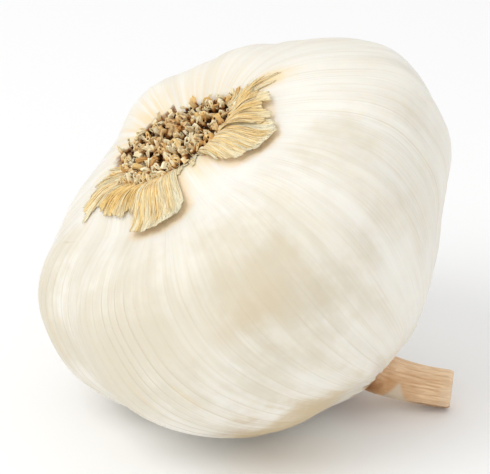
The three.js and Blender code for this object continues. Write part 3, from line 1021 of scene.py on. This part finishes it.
def fibre_lines(count, random):
    """Loose fibres along the flaps: chains of points, with how thick and yellow each one is."""
    weights = np.array([(flap.end - flap.start) * (0.4 + flap.tone) * max(flap.reach) for flap in FLAPS])
    share = np.linspace(0, 1, FIBRE_POINTS)
    chains = []
    for number in random.choice(len(FLAPS), count, p=weights / weights.sum()):
        flap = FLAPS[number]
        side = random.uniform(-0.96, 0.96)
        angle = np.radians((flap.start + flap.end + side * (flap.end - flap.start)) / 2)
        reach = flap_reach(flap, angle) * random.uniform(0.5, 1.06)
        drift = np.radians(random.normal(0, 1.6)) * share**2
        wave = np.radians(0.5) * np.sin(share * random.uniform(4, 9) + random.uniform(0, 6))
        at = FLAP_START + share * (reach / SKIN_LINE.length - FLAP_START)
        own = share * reach / flap_reach(flap, angle)
        springy = random.uniform(0, 0.4) * MM * share**3
        height = flap_lift(flap, own, side) + SKIN_RAISE + 0.16 * MM + springy
        thick = random.uniform(0.45, 1.3) * (1 - 0.75 * share**3)
        tone = max(flap.tone + random.normal(0, 0.4), 0)
        chains.append((placed(skin_shape(angle + drift + wave, at, height)), thick, tone, share))
    return chains


def curled_hairs(count, random):
    """Thin dry roots that curl out over the edge of the root plate."""
    share = np.linspace(0, 1, HAIR_POINTS)
    chains = []
    for _ in range(count):
        angle = math.radians(random.uniform(-188, -70))
        length = random.uniform(1, 2.6) * MM
        turn = random.uniform(-2.6, 2.6) * share**1.5 + random.uniform(-0.6, 0.6)
        out = np.cumsum(np.cos(turn)) * length / len(share)
        aside = np.cumsum(np.sin(turn)) * length / len(share)
        radius = PLATE_RADIUS * random.uniform(0.8, 0.97) + out
        rise = random.uniform(0.3, 1.6) * MM * np.sin(np.pi * (0.25 + 0.75 * share)) + 0.5 * MM
        chain = about_axis(radius, angle + aside / PLATE_RADIUS, PLATE_TOP + rise)
        thick = random.uniform(0.5, 1.2) * (1 - 0.6 * share)
        chains.append((placed(chain), thick, random.choice(HAIR_TONES), share))
    return chains


def chained(name, chains):
    """One piece of bare edges from chains of points, with how thick and yellow each point is."""
    edges, start = [], 0
    for chain, *_ in chains:
        edges += [(start + n, start + n + 1) for n in range(len(chain) - 1)]
        start += len(chain)
    points, thick, tone, along = zip(*chains)
    tone = [np.full(len(chain), value) for chain, value in zip(points, tone)]
    data = {"thick": thick, "tone": tone, "along": along}
    data = {key: np.concatenate(value) for key, value in data.items()}
    return new_piece(name, np.concatenate(points), [], data, edges=edges)


def make_fibre_tree():
    """Gives chains of points a round body, as thick as each point says."""
    tree, take = geometry_tree("Fibres", {"Radius": 0.0001, "Sides": 5})
    outline = add(tree, "GeometryNodeCurvePrimitiveCircle", {"Resolution": take["Sides"], "Radius": 1.0})
    body = add(tree, "GeometryNodeCurveToMesh", {
        "Curve": add(tree, "GeometryNodeMeshToCurve", {0: take["Geometry"]}),
        "Profile Curve": outline,
        "Scale": stored(tree, "thick") * take["Radius"],
        "Fill Caps": True,
    })
    return end_geometry(tree, take, add(tree, "GeometryNodeSetShadeSmooth", {0: body}))


def make_husk_material(look):
    """Dry torn skin: straw to cream, with dark lines between fibres and a pale, specked margin."""
    husk = Paint("dry_skin", look.pale, 0.6, 0.3)
    along = husk.weave["Along"]
    tone, margin = husk.attribute("tone"), husk.attribute("margin")
    fibre = husk.streaks(11.0, 2.2, 0.3, 0.7)
    dark = husk.streaks(8.0, 2.6, 0.53, 0.6)
    comes = husk.streaks(2.4, 4.0, 0.36, 0.6)
    specks = husk.streaks(11.0, 10.0, 0.61, 0.66)
    cloud = husk.blotches(260.0, 0.35, 0.65)
    inner = along.step(0.0, 1.0, 0.95, 0.5)
    gaps = husk.attribute("seam").step(0.35, 0.95) * (comes * 0.6 + 0.12)
    husk.coat(look.straw, tone * (fibre * 0.5 + 0.6))
    husk.coat(look.dark, dark * inner * (tone * 0.9 + 0.1))
    husk.coat(look.dark, gaps * (tone + 0.1) * inner)
    husk.coat(look.pale, along.step(0.8, 0.95) * margin * 0.7)
    husk.coat(look.speck, specks * margin * cloud.step(0.0, 1.0, 0.35, 1.0) * 0.8)
    husk.coat(look.dark, along.step(0.0, 0.35, 1.0, 0.0) * tone * 0.4)
    return husk.done(fibre - dark, relief=0.1, strength=0.8)


def make_fibre_material(look):
    """Loose straw fibres, each with its own tone."""
    straw = Paint("straw_fibre", look.pale, 0.55, 0.35)
    tone = straw.attribute("tone")
    cloud = straw.blotches(700.0, 0.3, 0.7)
    straw.coat(look.straw, tone)
    straw.coat(look.dark, cloud * straw.attribute("along").step(0.0, 1.0, 0.5, 0.12))
    straw.coat(look.speck, tone.step(1.3, 1.8, 0.0, 0.8))
    return straw.done(cloud, relief=0.03, strength=0.5)


class GARLIC_OT_torn_skins(bpy.types.Operator):
    """Make the dry outer skins and their loose fibres"""

    bl_idname = "garlic.make_torn_skins"
    bl_label = "Make Torn Skins"

    def execute(self, context):
        look = context.scene.garlic_husk
        random = np.random.default_rng(FLAP_SEED)
        torn = sheets("husk_flaps", [flap_grid(flap, look.thickness, look.strand, random) for flap in FLAPS])
        torn.data.materials.append(make_husk_material(look))
        finished(torn, "torn_skins")
        random = np.random.default_rng(FIBRE_SEED)
        fibres = chained("straw_fibres", fibre_lines(look.fibres, random) + curled_hairs(HAIRS, random))
        run_tree(fibres, make_fibre_tree(), radius=look.fibre_radius, material=make_fibre_material(look))
        finished(fibres)
        return {"FINISHED"}


# ---------------------------------------------------------------- root plate


class GARLIC_PG_roots(bpy.types.PropertyGroup):
    """The root plate and the stubs of its cut roots."""

    spacing: length_property("Spacing", "The least distance between two roots", 0.61, 0.3, 3)
    tilt: angle_property("Tilt", "How far a root may lean from upright", 62)
    seed: count_property("Seed", "Picks another arrangement of roots", 5, 0, 999)
    pale: colour_property("Pale", "The torn ends of the palest roots", 255, 245, 208)
    tan: colour_property("Tan", "Most of the roots", 255, 218, 144)
    # Also the lower part of every root, partly painted shade among the roots.
    brown: colour_property("Brown", "The oldest roots", 178, 112, 46)
    # Also painted shade at the roots' feet and inside their hollow ends.
    deep: colour_property("Deep", "The plate between the roots", 36, 18, 6)


PLATE_COLUMNS, PLATE_ROWS = 120, 30
PLATE_SINK = 0.25 * MM  # how far the uneven plate lies below its plain top
PLATE_BUMP = 0.16 * MM
PLATE_BUMPS = (2, (5, 9, 16, 27))  # their seed, and the counts of their waves round the plate
ROOT_SINK = 0.2 * MM  # how far below it the roots stand
ROOTS_SPREAD = 0.2 * MM  # past the plate's edge
# Where the roots spill further over the skin: degrees, half width in degrees, how far, how high (mm).
ROOTS_OVER = ((282, 15, 0.6, 1.5), (122, 46, 1.15, 1.4))
STUB_KINDS = 14
STUB_SIDES = 6
STUB_SEED = 12
STUB_FOOT = 0.6 * MM  # how far a stub goes on below its place
ROOTS_PER_AREA = 8e6  # more than there is room for, so the spacing decides
ROOT_SIZES = (0.72, 1.15)  # the smallest and the largest, beside their kind


def make_stub(number, random):
    """One kind of root stub: a short, squashed, curling tube with a torn, hollow end."""
    length, radius = random.uniform(1.8, 2.9) * MM, random.uniform(0.28, 0.42) * MM
    squash, curl = random.uniform(0.5, 0.9), random.uniform(-2.4, 2.4)
    flare = random.uniform(0.95, 1.25)
    round_at = np.linspace(0, TURN_ROUND, STUB_SIDES, endpoint=False)
    torn = random.uniform(-0.05, 0.05, STUB_SIDES) * length
    torn = torn + radius * random.uniform(0.3, 1.1) * np.cos(round_at - random.uniform(0, 6))
    creased = 1 + 0.18 * np.cos(3 * round_at + random.uniform(0, 6))

    def ring(share, scale, ragged=0.0):
        """A ring of points round the stub, at a share of its length."""
        bend = curl * share**1.5
        reach = length * share
        middle = np.array([reach * math.sin(bend) * 0.5, 0, reach * math.cos(bend * 0.6) - STUB_FOOT])
        wobble = creased * (1 + 0.12 * random.uniform(-1, 1, STUB_SIDES))
        x = radius * scale * wobble * np.cos(round_at)
        y = radius * scale * wobble * squash * np.sin(round_at)
        return tipped(np.stack([x, y, ragged * torn], -1), bend) + middle

    # Each ring's share of the length, its scale, how ragged it is, and how near the tip it counts.
    outside = [(0, 0.85, 0, 0), (0.4, 1.0, 0, 0.4), (0.62, 0.78, 0, 0.62), (0.82, 1.1, 0, 0.82)]
    # The innermost ring counts as near the foot, so the hollow end is painted dark, as shade inside it.
    inside = [(1, flare, 1.0, 1), (0.98, flare * 0.62, 0.9, 1), (0.75, 0.4, 0, 0.1)]
    rings = np.stack([ring(*values[:3]) for values in outside + inside])
    down = np.array([values[3] for values in outside + inside])
    tip = np.repeat(down[:, None], STUB_SIDES, axis=1)
    foot, hollow = ring(0, 0).mean(0), ring(0.65, 0).mean(0)
    return tube(f"stub_{number}", foot, rings, hollow, np.linspace(0, 1, STUB_SIDES + 1), down, {"tip": tip})


def plate_top(radius):
    """The plate's height at a distance from its middle."""
    return PLATE_TOP + PLATE_CROWN * (1 - (radius / PLATE_RADIUS) ** 2)


def make_scatter_tree():
    """Scatters root stubs over a surface, standing off it with their own turn, lean, size and tone."""
    tree, take = geometry_tree(
        "Scattered Roots", {"Roots": "NodeSocketCollection", "Spacing": 0.001, "Tilt": 0.8, "Seed": 0}
    )
    lean, seed = take["Tilt"], take["Seed"]

    def drawn(low, high, seed):
        """A number for each root, drawn between two limits."""
        return add(tree, "FunctionNodeRandomValue", {2: low, 3: high, "Seed": seed})[1]

    inputs = {
        "Mesh": take["Geometry"], "Distance Min": take["Spacing"], "Density Max": ROOTS_PER_AREA,
        "Seed": seed,
    }
    spots = add(tree, "GeometryNodeDistributePointsOnFaces", inputs, distribute_method="POISSON")
    kinds = add(
        tree, "GeometryNodeCollectionInfo",
        {"Collection": take["Roots"], "Separate Children": True, "Reset Children": True},
    )
    low = add(tree, "ShaderNodeCombineXYZ", {"X": lean * -1.0, "Y": lean * -1.0, "Z": -math.pi})
    high = add(tree, "ShaderNodeCombineXYZ", {"X": lean, "Y": lean, "Z": math.pi})
    turn = add(
        tree, "FunctionNodeRandomValue", {"Min": low, "Max": high, "Seed": seed}, data_type="FLOAT_VECTOR"
    )
    turned = add(tree, "FunctionNodeEulerToRotation", {0: turn})
    facing = add(
        tree, "FunctionNodeRotateRotation", {"Rotation": spots["Rotation"], "Rotate By": turned},
        rotation_space="LOCAL",
    )
    standing = add(tree, "GeometryNodeInstanceOnPoints", {
        "Points": spots, "Instance": kinds, "Pick Instance": True, "Rotation": facing,
        "Scale": drawn(*ROOT_SIZES, seed + 1.0),
    })
    kept = add(
        tree, "GeometryNodeStoreNamedAttribute",
        {"Geometry": standing, "Name": "tone", "Value": drawn(0.0, 1.0, seed + 2.0)},
        data_type="FLOAT", domain="INSTANCE",
    )
    return end_geometry(tree, take, kept)


def make_root_material(look):
    """Dry roots: dark at the foot and brown further up, partly painted shade among them, and then tan or
    cream towards the torn end.
    """
    root = Paint("dry_roots", look.deep, 0.65, 0.2)
    tone, tip = root.attribute("tone"), root.attribute("tip")
    cloud = root.blotches(1100.0, 0.3, 0.7)
    patch = root.blotches(210.0, 0.5, 0.6)
    lines = root.streaks(15.0, 2.5, 0.46, 0.6)
    # The deep foot of each root is painted shade in the gaps between roots; the brown above it is partly
    # painted shade too.
    root.coat(look.brown, tip.step(0.34, 0.6))
    root.coat(look.tan, tip.step(0.46, 0.68) * tone.step(-0.1, 0.16) * patch.step(0.0, 1.0, 1.0, 0.6))
    root.coat(look.pale, tone.step(0.05, 0.5) * tip.step(0.52, 0.76) * patch.step(0.0, 1.0, 1.0, 0.3))
    root.coat(look.brown, lines * 0.2)
    root.coat(look.brown, cloud * 0.06)
    return root.done(cloud - lines, relief=0.08, strength=0.6)


def make_plate_material(look):
    """The plate itself: dark, fibrous and uneven. Its darkness is partly painted shade for the gaps between
    the roots.
    """
    plate = Paint("root_plate", look.deep, 0.85, 0.2)
    cloud = plate.blotches(500.0, 0.35, 0.65)
    plate.coat(look.brown, cloud * 0.3)
    return plate.done(cloud, relief=0.2, strength=1.0)


class GARLIC_OT_root_plate(bpy.types.Operator):
    """Make the root plate and its root stubs"""

    bl_idname = "garlic.make_root_plate"
    bl_label = "Make Root Plate"

    def execute(self, context):
        look = context.scene.garlic_roots
        angles = np.linspace(0, TURN_ROUND, PLATE_COLUMNS, endpoint=False)
        radii = PLATE_RADIUS * np.linspace(0.03, 1, PLATE_ROWS)
        angle, radius = np.meshgrid(angles, radii)
        bumps = PLATE_BUMP * waver(angle, *PLATE_BUMPS, radius / MM * 3)
        top = about_axis(radius, angle, plate_top(radius) - PLATE_SINK + bumps)
        floor = PLATE_TOP - PLATE_THICKNESS
        rings = np.concatenate([top, about_axis(PLATE_RADIUS, angles, floor)[None]])
        middle = placed(about_axis(0, 0, plate_top(0)))
        disc = tube(
            "root_disc", middle, placed(rings), placed(about_axis(0, 0, floor)),
            np.linspace(0, 1, PLATE_COLUMNS + 1), np.append(radii / PLATE_RADIUS, 1),
        )
        disc.data.materials.append(make_plate_material(look))
        finished(disc, "root_plate")

        kinds = bpy.data.collections.new("root_kinds")
        random = np.random.default_rng(STUB_SEED)
        for number in range(STUB_KINDS):
            stub = make_stub(number, random)
            stub.data.shade_flat()
            kinds.objects.link(stub)
            context.scene.collection.objects.unlink(stub)
        share = radius / PLATE_RADIUS
        radius = radius + ROOTS_SPREAD * share
        rise = 0
        for place, half_width, how_far, how_high in ROOTS_OVER:
            over = np.exp(-(((np.degrees(angle) - place) / half_width) ** 2))
            radius = radius + how_far * MM * over * share
            rise = rise + how_high * MM * over * smooth((share - 0.7) / 0.3)
        ground = placed(about_axis(radius, angle, plate_top(radius) - ROOT_SINK + rise)).reshape(-1, 3)
        faces = [face for face in ring_faces(*radius.shape) if radius.size + 1 not in face]
        roots = new_piece("root_stubs", np.vstack([middle[None], ground]), faces)
        run_tree(
            roots, make_scatter_tree(), roots=kinds, spacing=look.spacing, tilt=look.tilt, seed=look.seed,
            material=make_root_material(look),
        )
        for stub in list(kinds.objects):
            bpy.data.objects.remove(stub)
        bpy.data.collections.remove(kinds)
        finished(roots)
        return {"FINISHED"}


# ---------------------------------------------------------------- stem


class GARLIC_PG_stem(bpy.types.PropertyGroup):
    """The dried stem."""

    groove_depth: length_property("Groove Depth", "How deep the stem's grooves are", 0.1, 0, 0.5)
    tan: colour_property("Tan", "The stem's own colour", 250, 218, 180)
    brown: colour_property("Brown", "Its shaded and older places", 196, 142, 88)
    deep: colour_property("Deep", "Its darkest streaks", 120, 72, 36)
    grey: colour_property("Grey", "A scrap of paler inner skin", 222, 210, 190)


# The stem's middle line in the frame, drawn from inside the bulb towards the two middle points.
STEM_LINE = np.array([(13, 0, 8.3), (16, -0.1, 4.9), (21, -0.7, 3.3), (28.3, -1.7, 2.75)]) * MM
STEM_RADIUS = 2.62 * MM
STEM_CUT = 0.24 * MM  # how far its edge is rounded off at the cut
STEM_COLUMNS = 144
STEM_ROWS = 64
# The stem's unevenness: a seed for each kind, and the counts of its waves round the stem.
STEM_FIBRES = (3, (9, 14, 23, 31, 43))
STEM_BULGES = (4, (2, 3, 5))
# Grooves along the stem: how far round from the top, its start and end along, how wide, how deep.
STEM_GROOVES = (
    (0.06, 0.55, 0.97, 0.006, 0.7), (0.115, 0.5, 0.9, 0.006, 0.8), (0.17, 0.62, 0.92, 0.006, 1.0),
    (0.205, 0.62, 0.92, 0.006, 1.0), (0.26, 0.6, 0.96, 0.006, 0.6), (0.31, 0.66, 0.93, 0.005, 0.5),
    (0.375, 0.7, 0.97, 0.007, 0.8), (0.14, 0.7, 0.99, 0.005, 0.5), (0.23, 0.55, 0.8, 0.005, 0.5),
)
GROOVE_WANDER = 0.0025  # how far a groove drifts aside, as a share of the way round
GROOVE_WAVES = (1, 2, 3)
# The rings inside the cut end: how wide each is, and what it counts as along the stem.
STEM_INSIDE = ((0.8, 1.02), (0.55, 1.04), (0.3, 1.06))
STEM_HOLLOW = 0.3 * MM  # how deep the cut end is
# Marks on the stem: how far round, how far along, half width, half length, strength, colour.
STEM_MARKS = (
    # Painted shade where the bulb shades the stem: brown near it, and darkest at the junction.
    (0.28, 0.3, 0.22, 0.4, 0.9, "brown"),
    (0.3, 0.26, 0.16, 0.2, 0.9, "deep"),
    (0.41, 0.86, 0.06, 0.26, 1.0, "deep"),
)


def make_stem_material(look):
    """Dry tan stem with long grooves, painted shade near the bulb, and a paler rim at the cut."""
    stem = Paint("dry_stem", look.tan, 0.6, 0.35, subsurface=0.05)
    across, along = stem.weave.values()
    broad = stem.streaks(12.0, 2.4, 0.35, 0.7)
    thin = stem.streaks(60.0, 7.0, 0.42, 0.66)
    cloud = stem.blotches(260.0, 0.4, 0.7)
    stem.coat(look.brown, broad * 0.3)
    stem.coat(look.brown, thin * 0.28)
    stem.coat(look.brown, stem.attribute("groove") * 0.5)
    stem.coat(look.grey, along.step(0.9, 0.93) * (cloud * 0.3 + 0.08))
    unrest = (cloud - 0.5) * 0.4
    # The first two marks are painted shade from the bulb.
    for *place, strength, name in STEM_MARKS:
        stem.coat(getattr(look, name), stem.mark(*place, unrest) * strength)
    # A pointed scrap of inner skin: it widens from its tip, high on the stem, to its foot.
    spare = (across - 0.19) / 0.18 * 0.095 - calc("ABSOLUTE", along - 0.56)
    scrap = spare.step(-0.02, 0.03) * across.step(0.18, 0.22) * across.step(0.43, 0.47, 1.0, 0.0)
    stem.coat(look.grey, scrap * 0.8)
    return stem.done(cloud * 0.3 - thin * 0.8, relief=0.09, strength=0.7)


class GARLIC_OT_stem(bpy.types.Operator):
    """Make the dried stem"""

    bl_idname = "garlic.make_stem"
    bl_label = "Make Stem"

    def execute(self, context):
        look = context.scene.garlic_stem
        line = Track(bezier(STEM_LINE))
        inside, end_along = np.transpose(STEM_INSIDE)
        shares = np.linspace(0, 1, STEM_ROWS)
        inward = np.append(np.ones(STEM_ROWS), inside)[:, None]
        turns = np.linspace(0, 1, STEM_COLUMNS, endpoint=False)
        turn, share = np.meshgrid(turns, np.append(shares, np.ones(len(inside))))
        angle = turn * TURN_ROUND
        grooves = np.zeros_like(angle)
        for round_at, start, end, width, depth in STEM_GROOVES:
            wander = GROOVE_WANDER * waver(share * 9, int(round_at * 1000), GROOVE_WAVES)
            across = np.exp(-(((turn - round_at - wander) / width) ** 2))
            grooves += depth * across * smooth((share - start) / 0.05) * smooth((end - share) / 0.03)
        fine = waver(angle, *STEM_FIBRES, share * 1.2)
        thicker = 0.2 * (1 - smooth(share / 0.85))
        radius = STEM_RADIUS * (1 + thicker + 0.03 * waver(angle, *STEM_BULGES))
        radius = radius + look.groove_depth * (0.35 * fine - 1.6 * grooves)
        radius = radius - STEM_CUT * smooth((share - 0.965) / 0.035) ** 2
        hollow = STEM_HOLLOW * (1 - inward) ** 0.5
        middle = np.stack(line.point(share * line.length - hollow), -1)
        run = np.stack(line.direction(share * line.length), -1)
        aside = np.cross(run, (0, 0, 1))
        aside /= np.linalg.norm(aside, axis=-1, keepdims=True)
        up = np.cross(aside, run)
        out = up * np.cos(angle)[..., None] + aside * np.sin(angle)[..., None]
        rings = middle + out * (radius * inward)[..., None]
        rings[..., 2] = np.maximum(rings[..., 2], 0)
        piece = tube(
            "dry_stem", middle[0, 0], rings, middle[-1, 0], np.linspace(0, 1, STEM_COLUMNS + 1),
            np.append(shares, end_along), {"groove": grooves},
        )
        piece.data.materials.append(make_stem_material(look))
        finished(piece, "stem")
        return {"FINISHED"}


# ---------------------------------------------------------------- stage


class GARLIC_PG_stage(bpy.types.PropertyGroup):
    """The floor, the lights and the camera."""

    floor: colour_property("Floor", "The floor's colour", 250, 250, 250)
    key: number_property("Key Light", "Power of the light over the root plate", 1.25, 0, 50, unit="POWER")
    fill: number_property("Fill Light", "Power of the light from the front", 0.2, 0, 50, unit="POWER")
    sky: number_property("Surround", "Brightness of the white surround", 0.84, 0, 5)
    elevation: angle_property("Camera Height", "How far above level the camera looks from", 25)
    distance: number_property(
        "Camera Distance", "From the camera to what it looks at", 0.35, 0.1, 5, unit="LENGTH"
    )


# What the camera looks at, from the bulb's centre, and how large it sees it.
AIM = np.array([1.48, -1.141, -2.447]) * MM
FOCUS_PIXELS = 2600  # the camera's focal length, in pixels of a picture 490 pixels wide
PICTURE_WIDTH = 490
SENSOR_WIDTH = 36
FLOOR_REACH = 3.0  # metres from its middle to each side
# The lights: where each is, and how large.
KEY_LIGHT = ((-0.32, -0.22, 0.5), 0.36)
FILL_LIGHT = ((0.1, -0.6, 0.25), 0.5)


def add_light(name, place, size, target, power):
    """A soft square light that faces a target."""
    light = bpy.data.lights.new(name, "AREA")
    light.energy = power
    light.size = size
    lamp = bpy.data.objects.new(name, light)
    lamp.location = place
    lamp.rotation_euler = (Vector(target) - Vector(place)).to_track_quat("-Z", "Y").to_euler()
    bpy.context.scene.collection.objects.link(lamp)


class GARLIC_OT_stage(bpy.types.Operator):
    """Make the floor, the lights and the camera"""

    bl_idname = "garlic.make_stage"
    bl_label = "Make Stage"

    def execute(self, context):
        look = context.scene.garlic_stage
        scene = context.scene
        corners = [(x * FLOOR_REACH, y * FLOOR_REACH, 0) for x, y in ((-1, -1), (1, -1), (1, 1), (-1, 1))]
        floor = new_piece("floor", corners, [(0, 1, 2, 3)])
        floor.data.materials.append(Paint("pale_floor", look.floor, 0.9, 0.1).done())

        world = bpy.data.worlds.new("surround")
        world.use_nodes = True
        feed(world.node_tree.nodes["Background"], {"Color": (1, 1, 1, 1), "Strength": look.sky})
        scene.world = world
        scene.view_settings.view_transform = "Standard"
        aim = CENTRE + AIM
        add_light("key", *KEY_LIGHT, aim, look.key)
        add_light("fill", *FILL_LIGHT, aim, look.fill)

        camera = bpy.data.cameras.new("camera")
        camera.lens = FOCUS_PIXELS / PICTURE_WIDTH * SENSOR_WIDTH
        camera.sensor_width = SENSOR_WIDTH
        viewer = bpy.data.objects.new("camera", camera)
        scene.collection.objects.link(viewer)
        back = np.array([0, -math.cos(look.elevation), math.sin(look.elevation)])
        viewer.location = aim + back * look.distance
        viewer.rotation_euler = (math.pi / 2 - look.elevation, 0, 0)
        scene.camera = viewer
        return {"FINISHED"}


# ---------------------------------------------------------------- the add-on


# Where the scene keeps each group's settings, and what makes the group.
GROUPS = {
    "garlic_skin": (GARLIC_PG_skin, GARLIC_OT_skin),
    "garlic_husk": (GARLIC_PG_husk, GARLIC_OT_torn_skins),
    "garlic_roots": (GARLIC_PG_roots, GARLIC_OT_root_plate),
    "garlic_stem": (GARLIC_PG_stem, GARLIC_OT_stem),
    "garlic_stage": (GARLIC_PG_stage, GARLIC_OT_stage),
}


class GARLIC_PT_panel(bpy.types.Panel):
    """Lists the bulb's pieces with their settings"""

    bl_idname = "GARLIC_PT_panel"
    bl_label = "Garlic Bulb"
    bl_space_type = "VIEW_3D"
    bl_region_type = "UI"
    bl_category = "Garlic"

    def draw(self, context):
        for name, (settings, operator) in GROUPS.items():
            box = self.layout.box()
            for setting in settings.__annotations__:
                box.prop(getattr(context.scene, name), setting)
            box.operator(operator.bl_idname)


CLASSES = (*(cls for pair in GROUPS.values() for cls in pair), GARLIC_PT_panel)


def register():
    for cls in CLASSES:
        bpy.utils.register_class(cls)
    for name, (settings, _) in GROUPS.items():
        setattr(bpy.types.Scene, name, PointerProperty(type=settings))


def unregister():
    for name in GROUPS:
        delattr(bpy.types.Scene, name)
    for cls in reversed(CLASSES):
        bpy.utils.unregister_class(cls)


def main():
    """Builds the bulb and its stage."""
    register()
    make_shared_groups()
    bpy.ops.garlic.make_skin()
    bpy.ops.garlic.make_torn_skins()
    bpy.ops.garlic.make_root_plate()
    bpy.ops.garlic.make_stem()
    bpy.ops.garlic.make_stage()


if __name__ == "__main__":
    main()
